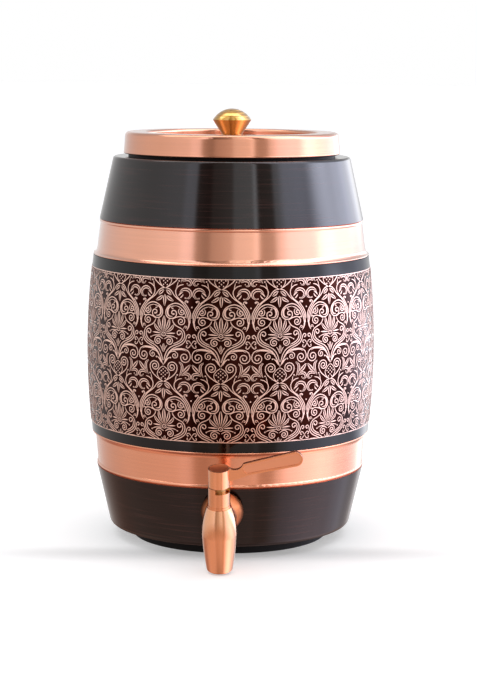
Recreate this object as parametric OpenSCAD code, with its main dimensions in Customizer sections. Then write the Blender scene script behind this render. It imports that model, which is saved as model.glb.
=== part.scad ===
// Barrel-shaped copper water dispenser with a loose lid and a quarter-turn tap.
// Millimetres, +Z up, origin on the barrel's axis in the plane it stands on, tap towards -Y.

/* [Sheet and fits] */
// Thickness of the vessel's copper sheet
sheet = 1.2; // [0.8:0.1:1.8]
// Gap of a seated or brazed joint
seat_gap = 0.05; // [0.02:0.01:0.1]
// Gap between pieces that move past each other
free_gap = 0.3; // [0.2:0.05:0.6]

/* [Foot and base] */
// Height of the foot ring below the body
foot_h = 8.5; // [4:0.5:12]
// Outer radius of the foot ring
foot_r = 71.5; // [60:0.5:78]
// Radial width of the foot ring
foot_w = 8; // [6:0.5:14]
// Width of the foot ring's tongue in the bottom flange
foot_tongue_w = 2.5; // [1.5:0.1:4]
// Thickness of the base plate
base_t = 1.5; // [1:0.1:3]

/* [Lower section] */
// Radius at the bottom, where wall and base would meet sharp
base_r = 88.2; // [84:0.2:92]
// Outer radius of the bottom corner
corner_r = 4; // [2.5:0.5:7]
// Height of the lower section
lower_h = 43.9; // [40:0.1:60]
// Radius at the top of the lower section
lower_top_r = 98.2; // [94:0.2:100]

/* [Belly] */
// Largest radius of the belly
belly_r = 104.9; // [103.5:0.1:112]
// Radius of the belly's upright curve
belly_arc = 550; // [450:10:800]
// Height of the belly section
belly_h = 128.5; // [110:0.5:160]
// Height of the widest place above the belly's lower edge
belly_rise = 58.7; // [50:0.1:75]

/* [Upper section] */
// Radius at the bottom of the upper section
upper_base_r = 95.9; // [93:0.1:98]
// Height of the upper section
upper_h = 44.9; // [36:0.1:60]
// Radius at the top, where wall and shoulder would meet sharp
shoulder_r = 85.8; // [82.5:0.1:89]
// Outer radius of the shoulder's edge
shoulder_edge_r = 2; // [1.5:0.1:4]

/* [Hoops] */
// Height of the lower hoop
lower_hoop_h = 26.2; // [20:0.2:34]
// Height of the upper hoop
upper_hoop_h = 25.8; // [20:0.2:34]
// Thickness of the hoop strip
hoop_t = 1; // [0.8:0.1:1.4]
// Depth of the hoop's band below the edge of the tapered section
hoop_inset = 0.9; // [0.5:0.1:1.5]
// Depth of the hoop's band below the edge of the belly
hoop_flare = 2.7; // [2:0.1:4]
// Height of the flared edge at the belly
hoop_flare_h = 4.6; // [3:0.1:7]
// Height of the rounded lip that ends the flared edge
hoop_lip_h = 1.6; // [1.2:0.1:1.8]
// Width of the fine step where the flare begins
hoop_step = 0.15; // [0.1:0.05:0.3]
// Height of the rolled bead at the other edge
hoop_bead_h = 3; // [2:0.1:4]
// Length of the lap joint behind a hoop
lap_h = 14; // [8:0.5:16]
// Length over which the belly's joggle runs out into its wall
joggle_h = 6; // [4:0.5:10]
// Length over which a tapered section's step runs out into its wall
step_h = 1; // [0.8:0.1:1.2]

/* [Neck] */
// Outer radius of the mouth collar
neck_r = 75; // [70:0.1:75.2]
// Width of the collar's flange under the shoulder
neck_flange_w = 6; // [4:0.5:7]
// Radius of the rolled rim
neck_bead_r = 1.3; // [0.8:0.1:1.4]

/* [Lid] */
// Thickness of the lid's sheet
lid_sheet = 1; // [0.6:0.1:1.4]
// Outer radius at the lid's lower edge
lid_r = 78.5; // [78.3:0.1:82]
// Outer radius at the lid's upper edge
lid_top_r = 77.2; // [77:0.1:80]
// Height of the lid
lid_h = 15.8; // [12:0.2:24]
// Gap between the shoulder and the lid's lower edge
lid_lift_gap = 1.8; // [1.5:0.1:6]
// Radius of the lid's outer upper edge
lid_edge_r = 3; // [2:0.1:4]
// Radius of the rolled lower edge
lid_bead_r = 1.1; // [0.7:0.1:1.5]
// Radius of the recess in the top
recess_r = 62; // [50:0.5:66]
// Depth of the recess
recess_d = 5; // [3.5:0.1:8]
// Outer bend radius of the recess's rim and corner
recess_bend_r = 2; // [1.6:0.1:2.4]

/* [Knob] */
// Largest radius of the knob
knob_r = 14; // [11:0.2:20]
// Height of the widest place above the plate
knob_widest_h = 13.6; // [9:0.1:18]
// Height of the dome above the widest place
knob_dome_h = 8.2; // [6:0.1:12]
// Radius of the knob's waist
knob_waist_r = 7.2; // [6:0.1:10]
// Radius of the knob's foot
knob_foot_r = 8.6; // [7.5:0.1:12]
// Height of the knob's foot
knob_foot_h = 1.6; // [1:0.1:3]
// Radius of the turned grooves
knob_groove_r = 0.35; // [0.2:0.05:0.6]
// Number of turned grooves on the dome
knob_grooves = 3; // [1:1:5]
// Radius of the screw
screw_r = 2; // [1.5:0.1:2.5]
// Length of the screw in the knob
screw_grip = 9; // [6:0.5:11]
// Radius of the screw's head
screw_head_r = 3.6; // [3:0.1:5]
// Height of the screw's head
screw_head_h = 2.4; // [1.5:0.1:3.5]
// Radius of the washer under the plate
knob_washer_r = 7; // [5.5:0.1:9]
// Thickness of the washer under the plate
knob_washer_t = 1; // [0.6:0.1:2]

/* [Tap body] */
// Height of the tap's inlet axis at the wall
tap_z = 37.3; // [36.5:0.1:40]
// Distance from the wall to the stem's axis
stand_off = 37; // [33:0.5:38]
// Radius of the bell flange
bell_r = 14.75; // [13.8:0.05:18]
// Thickness of the bell's rim
bell_rim = 2; // [1.5:0.1:4]
// Radius of the horn where it enters the spout
horn_r = 10.6; // [10:0.1:11.9]
// Radius of the shank through the wall
shank_r = 10.3; // [9:0.1:11]
// Radius of the inlet bore
inlet_r = 6; // [4.5:0.1:7.5]
// Radius of the largest part of the spout
spout_r = 12; // [11.9:0.1:14]
// Radius of the spout's end
spout_end_r = 8.9; // [8.5:0.1:10]
// Length of the spout below the inlet axis
spout_drop = 27; // [22:0.2:27.5]
// Radius of the spout's upright curve
spout_arc = 300; // [200:10:600]
// Radius of the spout's lower edge
spout_lip_r = 0.8; // [0.4:0.1:0.9]
// Radius of the outlet bore
outlet_r = 7; // [6.8:0.1:7.4]
// Length of the outlet bore
outlet_l = 13; // [10:0.2:14]
// Height of the spout's shoulder above the inlet axis
spout_top_h = 20.3; // [17:0.1:24]
// Radius of the spout's shoulder
spout_top_r = 8.4; // [8.1:0.1:10]
// Radius of the stem
stem_r = 7.5; // [7.3:0.1:8]
// Height of the stem above the shoulder
stem_h = 15; // [12:0.2:20]
// Radius of the collar at the stem's foot
collar_r = 7.9; // [7.8:0.1:8.1]
// Height of the collar at the stem's foot
collar_h = 1.5; // [0.8:0.1:3]

/* [Tap fastening] */
// Thickness of the outer gasket at its centre
gasket_t = 2; // [1.5:0.1:3]
// Radius of both gaskets
gasket_r = 12.6; // [11.8:0.1:12.7]
// Thickness of the inner gasket at its centre
inner_gasket_t = 3; // [2.5:0.1:4]
// Radius of the washer
washer_r = 15.5; // [14.5:0.1:18]
// Thickness of the washer
washer_t = 1.5; // [1:0.1:3]
// Lock nut's width across its corners
nut_corners = 31; // [28:0.5:36]
// Lock nut's height
nut_h = 8; // [5:0.5:10]
// Length of the shank past the nut
shank_spare = 2.5; // [1:0.5:6]

/* [Valve] */
// Radius of the valve plug
plug_r = 5; // [4.8:0.1:5.2]
// Radial gap between plug and bore
plug_play = 0.05; // [0.03:0.01:0.1]
// Radius of the port and of the plug's bore
port_r = 3; // [2.4:0.1:3.1]
// Depth of the plug's bearing bore below the inlet axis
plug_bearing = 9; // [8.5:0.1:10]
// Radius of the chamber round the plug's lower end
chamber_r = 6.4; // [6.2:0.1:6.7]
// Depth of the seal ring grooves
seal_groove_d = 1.3; // [1:0.05:1.4]
// Height of the upper seal ring above the inlet axis
seal_upper_h = 9; // [6:0.1:14]
// Depth of the lower seal ring below the inlet axis
seal_lower_d = 6; // [5:0.1:7]
// Thickness of the retaining clip
clip_t = 0.8; // [0.6:0.1:1.2]
// Outer radius of the retaining clip
clip_r = 6; // [5.6:0.1:6.1]
// Depth of the clip's groove in the plug
clip_groove_d = 0.9; // [0.6:0.1:1]
// Opening of the retaining clip
clip_opening = 70; // [50:5:110]
// Radius of the stop pin
stop_pin_r = 1.1; // [0.8:0.05:1.3]
// Depth of the stop pin's axis below the stem's rim
stop_pin_d = 2.1; // [1.8:0.1:3]
// Quarter turn of the handle
handle_turn = 90; // [80:1:100]
// Width of the plug's square
square_w = 6.4; // [5.4:0.1:6.6]
// Height of the plug's square
square_h = 9.5; // [7:0.1:10]

/* [Lever] */
// Radius of the lever's cap
cap_r = 7.3; // [6.7:0.1:7.4]
// Height of the lever's cap
cap_h = 12.7; // [11.6:0.1:15]
// Depth of the dish in the cap's top
cap_dish_d = 0.9; // [0.5:0.1:1.2]
// Width of the rim round the dish
cap_rim_w = 0.6; // [0.4:0.1:1.2]
// Thickness of the blade
blade_t = 3; // [2.4:0.1:4]
// Distance of the blade's root from the stem's axis
blade_root_x = 19.5; // [17:0.5:24]
// Height of the blade's root above the cap's underside
blade_root_h = 13; // [12:0.1:15]
// Half width of the blade's root
blade_root_r = 4.3; // [3.8:0.1:5]
// Distance of the blade's tip centre from the stem's axis
blade_tip_x = 51; // [42:0.5:60]
// Height of the blade's tip centre above the cap's underside
blade_tip_h = 20.8; // [16:0.1:26]
// Half width of the blade's tip
blade_tip_r = 5.2; // [4.5:0.1:6.5]
// Half height of the neck where it leaves the cap
neck_root_r = 4.4; // [3.8:0.1:5]
// Height of the neck's middle above the cap's underside
neck_root_h = 7.4; // [6.6:0.1:8]
// Radius of the dip in the neck's upper edge
neck_dip_r = 6; // [4:0.1:9]
// Direction from the blade's root to the dip's centre
neck_dip_turn = 150; // [145:1:155]
// Width of the rim round the recessed panel
panel_rim = 1.2; // [0.8:0.1:1.8]
// Depth of the recessed panel
panel_d = 0.6; // [0.3:0.1:0.9]
// Radius of the grub screw
grub_r = 1.5; // [1:0.1:1.7]
// Height of the grub screw above the cap's underside
grub_h = 5.5; // [3.5:0.1:8]
// Depth of the grub screw's outer end below the cap's side
grub_sunk = 0.5; // [0.2:0.1:1]

/* [Hidden] */
$fn = 128;
// Fineness of the long flat curves
arc_fn = 720;
// Overlap of a cut past the face it opens
past = 1;
// Share of the hoop's lip left standing above its cove
lip_share = 0.9;

body_z = foot_h;
lower_hoop_z = body_z + lower_h;
belly_z = lower_hoop_z + lower_hoop_h;
belly_top_z = belly_z + belly_h;
upper_z = belly_top_z + upper_hoop_h;
shoulder_z = upper_z + upper_h;
lid_z = shoulder_z + lid_lift_gap;
lid_top_z = lid_z + lid_h;
plate_z = lid_top_z - recess_d;

// Slopes of the walls as radius gained per height, towards the belly
lower_slope = (lower_top_r - base_r) / lower_h;
upper_slope = (upper_base_r - shoulder_r) / upper_h;
lower_tilt = atan(lower_slope);
upper_tilt = atan(upper_slope);
function belly_radius(up) =
    belly_r - belly_arc + sqrt(belly_arc * belly_arc - pow(up - belly_rise, 2));
belly_low_r = belly_radius(0);
belly_high_r = belly_radius(belly_h);
belly_low_slope = belly_rise / sqrt(pow(belly_arc, 2) - pow(belly_rise, 2));
belly_high_slope = (belly_h - belly_rise) / sqrt(pow(belly_arc, 2) - pow(belly_h - belly_rise, 2));

// Bottom flange, base and foot
flange_hole_r = foot_r - foot_w + foot_tongue_w;

// Mouth collar
neck_hole_r = neck_r + seat_gap;
neck_rim_z = lid_top_z - lid_sheet - free_gap;

// Tap frame: outwards is -Y and the stem runs along +Z, with the wall's face at y = 0
wall_r = base_r + (tap_z - body_z) * lower_slope;
stem_top_h = spout_top_h + stem_h;
bore_r = plug_r + plug_play;
cap_z = stem_top_h + free_gap;
inner_gasket_y = sheet + inner_gasket_t;
washer_y = inner_gasket_y + washer_t;
nut_y = washer_y + nut_h;
shank_end_y = nut_y + shank_spare;
plug_end_h = -plug_bearing - free_gap - 2 * clip_t - free_gap;
pin_h = stem_top_h - stop_pin_d;
pin_reach = stem_r - free_gap;
pin_half_angle = asin((stop_pin_r + free_gap) / bore_r);

copper = "#d9936f";
dark_copper = "#3a2d2b";
brass = "#d8a642";
rubber = "#171615";
steel = "#b9bcc0";

// Space within a cup whose floor is at height 0, with a round corner and a wall that leans outwards.
// sharp_r is the radius where floor and wall would meet sharp, and inset moves every face inwards.
module cup_region(sharp_r, corner, slope, h, inset) {
    tilt = atan(slope);
    bend_at = [sharp_r - corner * (1 - sin(tilt)) / cos(tilt), corner];
    bend_r = corner - inset;
    polygon([
        [0, inset], [bend_at[0], inset], bend_at + bend_r * [cos(tilt), -sin(tilt)],
        [sharp_r + slope * h - inset / cos(tilt), h], [0, h]
    ]);
    translate(bend_at) circle(r = bend_r);
}

// Sheet of that cup, with a hole in its floor
module cup_section(sharp_r, corner, slope, h, thickness, hole_r) {
    difference() {
        cup_region(sharp_r, corner, slope, h, 0);
        cup_region(sharp_r, corner, slope, h + past, thickness);
        translate([0, -past]) square([hole_r, thickness + 2 * past]);
    }
}

// Centre of the arc of the given radius through two places, on the axis side of them
function arc_centre(low, high, radius) =
    let (chord = high - low, half = norm(chord) / 2, aside = [-chord[1], chord[0]] / norm(chord))
    (low + high) / 2 + aside * sqrt(radius * radius - half * half);

// Tapered bar round two circles, as its four tangent places and both circles
module tangent_bar(near, near_r, far, far_r) {
    along = atan2(far[1] - near[1], far[0] - near[0]);
    turn = acos((near_r - far_r) / norm(far - near));
    polygon([
        near + near_r * [cos(along + turn), sin(along + turn)],
        near + near_r * [cos(along - turn), sin(along - turn)],
        far + far_r * [cos(along - turn), sin(along - turn)],
        far + far_r * [cos(along + turn), sin(along + turn)]
    ]);
    translate(near) circle(r = near_r);
    translate(far) circle(r = far_r);
}

// Sections of a lap joint: height 0 is at the tapered section's edge, and h is at the belly's edge
function band_foot_r(cone_r) = cone_r - hoop_inset;
function band_head_r(edge_r) = edge_r - hoop_flare;
function band_r(cone_r, edge_r, h, up) =
    band_foot_r(cone_r) + (band_head_r(edge_r) - band_foot_r(cone_r)) * up / (h - hoop_flare_h);

module hoop_section(cone_r, edge_r, h) {
    foot = band_foot_r(cone_r);
    head = band_head_r(edge_r);
    flare_h = h - hoop_flare_h;
    bead_r = hoop_bead_h / 2;
    lip_r = hoop_lip_h / 2;
    cove_w = hoop_flare - lip_r - hoop_step;
    cove_h = hoop_flare_h - lip_share * hoop_lip_h;
    cove_arc = (cove_w * cove_w + cove_h * cove_h) / (2 * cove_w);
    difference() {
        polygon([
            [foot, 0], [head, flare_h], [edge_r, flare_h], [edge_r, h],
            [edge_r - hoop_t, h], [head - hoop_t, flare_h], [foot - hoop_t, 0]
        ]);
        translate([head + hoop_step + cove_arc, flare_h]) circle(r = cove_arc);
        difference() {
            translate([edge_r - lip_r, flare_h]) square([lip_r + past, hoop_flare_h + past]);
            translate([edge_r - lip_r, h - lip_r]) circle(r = lip_r);
        }
    }
    intersection() {
        translate([cone_r - bead_r, bead_r]) circle(r = bead_r);
        polygon([
            [foot - hoop_t / 2, 0], [cone_r + past, 0], [cone_r + past, hoop_bead_h],
            [band_r(cone_r, edge_r, h, hoop_bead_h) - hoop_t / 2, hoop_bead_h]
        ]);
    }
}

// Skirt of the tapered section, straight behind the hoop's band
module cone_lap_section(cone_r, edge_r, h, slope) {
    out = hoop_t + seat_gap;
    in = out + sheet;
    foot = band_foot_r(cone_r);
    end_h = h - hoop_flare_h - free_gap;
    end = band_r(cone_r, edge_r, h, end_h);
    run_out_r = cone_r - slope * step_h;
    polygon([
        [run_out_r - sheet * 0.6, -step_h], [run_out_r - sheet * 0.4, -step_h],
        [cone_r - sheet / 2, 0], [foot - out, 0], [end - out, end_h], [end - in, end_h],
        [foot - in, 0]
    ]);
}

// Skirt of the belly, lapped inside the tapered section's skirt
module belly_lap_section(cone_r, edge_r, h, slope) {
    out = hoop_t + sheet + 2 * seat_gap;
    in = out + sheet;
    edge_out = hoop_t + seat_gap;
    flare_h = h - hoop_flare_h;
    end_h = flare_h - lap_h;
    end = band_r(cone_r, edge_r, h, end_h);
    head = band_head_r(edge_r);
    run_out_r = edge_r + slope * joggle_h;
    polygon([
        [end - out, end_h], [head - out, flare_h], [edge_r - edge_out, h], [edge_r - sheet / 2, h],
        [run_out_r - sheet * 0.4, h + joggle_h], [run_out_r - sheet * 0.6, h + joggle_h],
        [edge_r - edge_out - sheet, h], [head - in, flare_h], [end - in, end_h]
    ]);
}

module tap_place() {
    translate([0, -wall_r, tap_z]) rotate([lower_tilt, 0, 0]) children();
}

module stem_place() {
    tap_place() translate([0, -stand_off, 0]) children();
}

// Turns a body of revolution so that its axis points outwards from the wall
module outwards() {
    rotate([90, 0, 0]) children();
}

// Turns a piece drawn upwards from the given height to hang down from it
module hanging(height) {
    translate([0, 0, height]) mirror([0, 0, 1]) children();
}

// Solid inside the lower section's wall, moved in or out by the given radius
module lower_cone(grow) {
    translate([0, 0, body_z]) cylinder(r1 = base_r + grow, r2 = lower_top_r + grow, h = lower_h);
}

module lower_shell() {
    color(dark_copper)
        difference() {
            translate([0, 0, body_z])
                rotate_extrude() {
                    cup_section(base_r, corner_r, lower_slope, lower_h, sheet, flange_hole_r);
                    translate([0, lower_h])
                        cone_lap_section(lower_top_r, belly_low_r, lower_hoop_h, lower_slope);
                }
            tap_place() outwards()
                translate([0, 0, -shank_end_y]) cylinder(r = shank_r + free_gap, h = shank_end_y + gasket_t);
        }
}

module middle_shell() {
    color(dark_copper) {
        rotate_extrude() {
            intersection() {
                translate([belly_r - belly_arc, belly_z + belly_rise])
                    difference() {
                        circle(r = belly_arc, $fn = arc_fn);
                        circle(r = belly_arc - sheet, $fn = arc_fn);
                    }
                translate([0, belly_z]) square([belly_r + past, belly_h]);
            }
            translate([0, lower_hoop_z])
                belly_lap_section(lower_top_r, belly_low_r, lower_hoop_h, belly_low_slope);
        }
        hanging(upper_z)
            rotate_extrude() belly_lap_section(upper_base_r, belly_high_r, upper_hoop_h, belly_high_slope);
    }
}

module upper_shell() {
    color(dark_copper)
        hanging(shoulder_z)
            rotate_extrude() {
                cup_section(shoulder_r, shoulder_edge_r, upper_slope, upper_h, sheet, neck_hole_r);
                translate([0, upper_h])
                    cone_lap_section(upper_base_r, belly_high_r, upper_hoop_h, upper_slope);
            }
}

module lower_hoop() {
    color(copper)
        translate([0, 0, lower_hoop_z]) rotate_extrude() hoop_section(lower_top_r, belly_low_r, lower_hoop_h);
}

module upper_hoop() {
    color(copper)
        hanging(upper_z) rotate_extrude() hoop_section(upper_base_r, belly_high_r, upper_hoop_h);
}

module base_plate() {
    plate_r = base_r - corner_r - sheet;
    color(copper) translate([0, 0, body_z + sheet]) cylinder(r = plate_r, h = base_t);
}

module foot_ring() {
    inner_r = foot_r - foot_w;
    color(rubber)
        rotate_extrude() {
            translate([inner_r, 0]) square([foot_w, foot_h]);
            translate([inner_r, foot_h / 2])
                square([foot_tongue_w - seat_gap, foot_h / 2 + sheet - seat_gap]);
        }
}

module neck_ring() {
    flange_z = shoulder_z - 2 * sheet;
    bead_z = neck_rim_z - neck_bead_r;
    color(dark_copper)
        rotate_extrude() {
            translate([neck_r - sheet, flange_z]) square([sheet + neck_flange_w, sheet]);
            translate([neck_r - sheet, flange_z]) square([sheet, bead_z - flange_z]);
            translate([neck_r - sheet / 2, bead_z]) circle(r = neck_bead_r);
        }
}

module lid_shell() {
    slope = (lid_r - lid_top_r) / lid_h;
    bead_up = lid_h - lid_bead_r;
    pan_h = recess_d + lid_sheet;
    color(copper)
        difference() {
            union() {
                hanging(lid_top_z)
                    rotate_extrude() {
                        cup_section(lid_top_r, lid_edge_r, slope, bead_up, lid_sheet, recess_r + lid_sheet / 2);
                        translate([lid_r - lid_bead_r, bead_up]) circle(r = lid_bead_r);
                    }
                translate([0, 0, lid_top_z - pan_h])
                    rotate_extrude()
                        cup_section(recess_r + lid_sheet, recess_bend_r, 0, pan_h, lid_sheet, screw_r + free_gap);
            }
            translate([0, 0, lid_top_z - recess_bend_r])
                rotate_extrude()
                    difference() {
                        translate([recess_r - past, 0]) square([recess_bend_r + past, recess_bend_r + past]);
                        translate([recess_r + recess_bend_r, 0]) circle(r = recess_bend_r);
                    }
        }
}

module lid_knob() {
    dome_r = (knob_r * knob_r + knob_dome_h * knob_dome_h) / (2 * knob_dome_h);
    dome_z = knob_widest_h + knob_dome_h - dome_r;
    waist_h = knob_foot_h + (knob_foot_r - knob_waist_r);
    dome_angle = atan2(knob_widest_h - dome_z, knob_r);
    color(brass)
        translate([0, 0, plate_z])
            difference() {
                rotate_extrude() {
                    square([knob_foot_r, knob_foot_h]);
                    polygon([
                        [0, 0], [knob_foot_r, knob_foot_h], [knob_waist_r, waist_h],
                        [knob_r, knob_widest_h], [0, knob_widest_h]
                    ]);
                    intersection() {
                        translate([0, dome_z]) circle(r = dome_r);
                        translate([0, knob_widest_h]) square([knob_r, knob_dome_h]);
                    }
                }
                for (i = [1 : knob_grooves]) {
                    angle = dome_angle + (90 - dome_angle) * i / (knob_grooves + 2);
                    rotate_extrude()
                        translate([dome_r * cos(angle), dome_z + dome_r * sin(angle)]) circle(r = knob_groove_r);
                }
                translate([0, 0, -past]) cylinder(r = screw_r + seat_gap, h = screw_grip + past + free_gap);
            }
}

module knob_washer() {
    color(steel)
        translate([0, 0, plate_z - lid_sheet - knob_washer_t])
            difference() {
                cylinder(r = knob_washer_r, h = knob_washer_t);
                translate([0, 0, -past]) cylinder(r = screw_r + seat_gap, h = knob_washer_t + 2 * past);
            }
}

module knob_screw() {
    slot_w = screw_head_r / 4;
    under_z = plate_z - lid_sheet - knob_washer_t;
    color(steel)
        difference() {
            union() {
                translate([0, 0, under_z - screw_head_h]) cylinder(r = screw_head_r, h = screw_head_h);
                translate([0, 0, under_z - screw_head_h / 2])
                    cylinder(r = screw_r, h = plate_z + screw_grip - under_z + screw_head_h / 2);
            }
            translate([-screw_head_r - past, -slot_w / 2, under_z - screw_head_h - past])
                cube([2 * (screw_head_r + past), slot_w, screw_head_h / 2 + past]);
        }
}

// Outside of the spout and its shoulder, round the stem's axis
module spout_section() {
    top = [spout_top_r, spout_top_h];
    rise = spout_r - spout_top_r;
    shoulder_arc = (rise * rise + spout_top_h * spout_top_h) / (2 * rise);
    end = [spout_end_r, -spout_drop];
    intersection() {
        translate([spout_r - shoulder_arc, 0]) circle(r = shoulder_arc, $fn = arc_fn);
        square([spout_r + past, top[1]]);
    }
    difference() {
        intersection() {
            translate(arc_centre(end, [spout_r, 0], spout_arc)) circle(r = spout_arc, $fn = arc_fn);
            translate([0, -spout_drop]) square([spout_r + past, spout_drop]);
        }
        difference() {
            translate([spout_end_r - spout_lip_r, -spout_drop - past])
                square([spout_lip_r + past, spout_lip_r + past]);
            translate(end + [-spout_lip_r, spout_lip_r]) circle(r = spout_lip_r);
        }
    }
}

// Outside of the domed bell and the horn, round the inlet axis, from the gasket to the stem's axis
module horn_section() {
    translate([0, gasket_t]) {
        intersection() {
            circle(r = norm([bell_r, bell_rim]));
            square([bell_r, 2 * bell_r]);
        }
        square([horn_r, stand_off - gasket_t]);
    }
}

module tap_body() {
    notch_h = stop_pin_d + stop_pin_r + free_gap;
    narrow_y = stand_off - 2 * bore_r;
    color(copper)
        difference() {
            union() {
                tap_place() outwards() {
                    rotate_extrude() horn_section();
                    translate([0, 0, -shank_end_y]) cylinder(r = shank_r, h = shank_end_y + gasket_t + bell_rim);
                }
                stem_place() {
                    rotate_extrude() spout_section();
                    translate([0, 0, spout_top_h - past]) cylinder(r = stem_r, h = stem_h + past);
                    translate([0, 0, spout_top_h - past]) cylinder(r = collar_r, h = collar_h + past);
                }
            }
            tap_place() outwards() {
                translate([0, 0, -shank_end_y - past]) cylinder(r = inlet_r, h = shank_end_y + past + narrow_y);
                cylinder(r = port_r, h = stand_off);
            }
            stem_place() {
                translate([0, 0, -plug_bearing]) cylinder(r = bore_r, h = plug_bearing + stem_top_h + past);
                translate([0, 0, -spout_drop]) cylinder(r = chamber_r, h = spout_drop - plug_bearing);
                translate([0, 0, -spout_drop - past]) cylinder(r = outlet_r, h = outlet_l + past);
                translate([0, 0, stem_top_h - notch_h])
                    rotate_extrude(start = -handle_turn - pin_half_angle, angle = handle_turn + 2 * pin_half_angle)
                        square([stem_r + past, notch_h + past]);
            }
        }
}

module tap_outer_gasket() {
    color(rubber)
        difference() {
            tap_place() outwards()
                difference() {
                    translate([0, 0, -gasket_t]) cylinder(r = gasket_r, h = 2 * gasket_t);
                    translate([0, 0, -gasket_t - past])
                        cylinder(r = shank_r + seat_gap, h = 2 * (gasket_t + past));
                }
            lower_cone(seat_gap);
        }
}

module tap_inner_gasket() {
    color(rubber)
        intersection() {
            tap_place() outwards()
                difference() {
                    translate([0, 0, -inner_gasket_y]) cylinder(r = gasket_r, h = inner_gasket_y);
                    translate([0, 0, -inner_gasket_y - past])
                        cylinder(r = shank_r + seat_gap, h = inner_gasket_y + 2 * past);
                }
            lower_cone(-sheet / cos(lower_tilt) - seat_gap);
        }
}

module tap_washer() {
    color(brass)
        tap_place() outwards()
            difference() {
                translate([0, 0, -washer_y]) cylinder(r = washer_r, h = washer_t);
                translate([0, 0, -washer_y - past]) cylinder(r = shank_r + seat_gap, h = washer_t + 2 * past);
            }
}

module tap_lock_nut() {
    color(brass)
        tap_place() outwards()
            difference() {
                translate([0, 0, -nut_y]) cylinder(r = nut_corners / 2, h = nut_h, $fn = 6);
                translate([0, 0, -nut_y - past]) cylinder(r = shank_r + seat_gap, h = nut_h + 2 * past);
            }
}

module blade_outline(shrink) {
    tangent_bar(
        [blade_root_x, blade_root_h], blade_root_r - shrink,
        [blade_tip_x, blade_tip_h], blade_tip_r - shrink
    );
}

module tap_lever() {
    dish_r = cap_r - cap_rim_w;
    dish_ball_r = (dish_r * dish_r + cap_dish_d * cap_dish_d) / (2 * cap_dish_d);
    socket_w = square_w + 2 * seat_gap;
    dip_reach = blade_root_r + neck_dip_r - seat_gap;
    dip_at = [blade_root_x, blade_root_h] + dip_reach * [cos(neck_dip_turn), sin(neck_dip_turn)];
    color(copper)
        stem_place() translate([0, 0, cap_z])
            difference() {
                union() {
                    cylinder(r = cap_r, h = cap_h);
                    rotate([90, 0, 0]) linear_extrude(height = blade_t, center = true) {
                        blade_outline(0);
                        difference() {
                            tangent_bar(
                                [cap_r - neck_root_r / 2, neck_root_h], neck_root_r,
                                [blade_root_x, blade_root_h], blade_root_r
                            );
                            translate(dip_at) circle(r = neck_dip_r);
                        }
                    }
                }
                translate([0, -blade_t / 2 + panel_d, 0])
                    rotate([90, 0, 0]) linear_extrude(height = panel_d + past) blade_outline(panel_rim);
                translate([0, 0, cap_h - cap_dish_d + dish_ball_r]) sphere(r = dish_ball_r);
                translate([-socket_w / 2, -socket_w / 2, -past])
                    cube([socket_w, socket_w, square_h + seat_gap + past]);
                translate([0, 0, grub_h]) rotate([-90, 0, 0]) cylinder(r = grub_r + seat_gap, h = cap_r + past);
            }
}

module valve_plug() {
    groove_r = plug_r - seal_groove_d;
    seal_w = bore_r - groove_r;
    clip_top = -plug_bearing - free_gap;
    color(brass)
        stem_place()
            difference() {
                union() {
                    translate([0, 0, plug_end_h]) cylinder(r = plug_r, h = cap_z - seat_gap - plug_end_h);
                    translate([-square_w / 2, -square_w / 2, cap_z - past])
                        cube([square_w, square_w, square_h + past]);
                }
                translate([0, 0, plug_end_h - past]) cylinder(r = port_r, h = port_r - plug_end_h + past);
                rotate([0, -90, 0]) cylinder(r = port_r, h = plug_r + past);
                for (h = [seal_upper_h, -seal_lower_d])
                    translate([0, 0, h - seal_w / 2]) plug_groove(groove_r, seal_w);
                translate([0, 0, clip_top - clip_t - seat_gap])
                    plug_groove(plug_r - clip_groove_d, clip_t + 2 * seat_gap);
                translate([0, 0, pin_h]) rotate([0, 90, 0]) cylinder(r = stop_pin_r + seat_gap, h = plug_r + past);
            }
}

// Ring to cut away for a groove round the plug
module plug_groove(bottom_r, width) {
    difference() {
        cylinder(r = plug_r + past, h = width);
        translate([0, 0, -past]) cylinder(r = bottom_r, h = width + 2 * past);
    }
}

module plug_seal_rings() {
    groove_r = plug_r - seal_groove_d;
    section_r = (bore_r - groove_r) / 2 - plug_play;
    color(rubber)
        stem_place()
            for (h = [seal_upper_h, -seal_lower_d])
                translate([0, 0, h])
                    rotate_extrude() translate([(bore_r + groove_r) / 2, 0]) circle(r = section_r);
}

module plug_clip() {
    inner_r = plug_r - clip_groove_d + seat_gap;
    color(steel)
        stem_place() translate([0, 0, -plug_bearing - free_gap - clip_t])
            rotate_extrude(start = clip_opening / 2, angle = 360 - clip_opening)
                translate([inner_r, 0]) square([clip_r - inner_r, clip_t]);
}

module stop_pin() {
    color(brass)
        stem_place() translate([seat_gap, 0, pin_h])
            rotate([0, 90, 0]) cylinder(r = stop_pin_r, h = pin_reach - seat_gap);
}

module lever_grub_screw() {
    inner_y = square_w / 2 + seat_gap;
    length = cap_r - grub_sunk - inner_y;
    color(steel)
        stem_place() translate([0, inner_y, cap_z + grub_h]) rotate([-90, 0, 0])
            difference() {
                cylinder(r = grub_r, h = length);
                translate([0, 0, length / 2]) cylinder(r = grub_r * 0.6, h = length, $fn = 6);
            }
}

lower_shell();
middle_shell();
upper_shell();
lower_hoop();
upper_hoop();
base_plate();
foot_ring();
neck_ring();
lid_shell();
lid_knob();
knob_washer();
knob_screw();
tap_body();
tap_outer_gasket();
tap_inner_gasket();
tap_washer();
tap_lock_nut();
tap_lever();
valve_plug();
plug_seal_rings();
plug_clip();
stop_pin();
lever_grub_screw();
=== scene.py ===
import math

import bpy
import numpy as np
from bpy.props import FloatProperty, FloatVectorProperty, IntProperty, PointerProperty
from mathutils import Matrix, Vector


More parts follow.
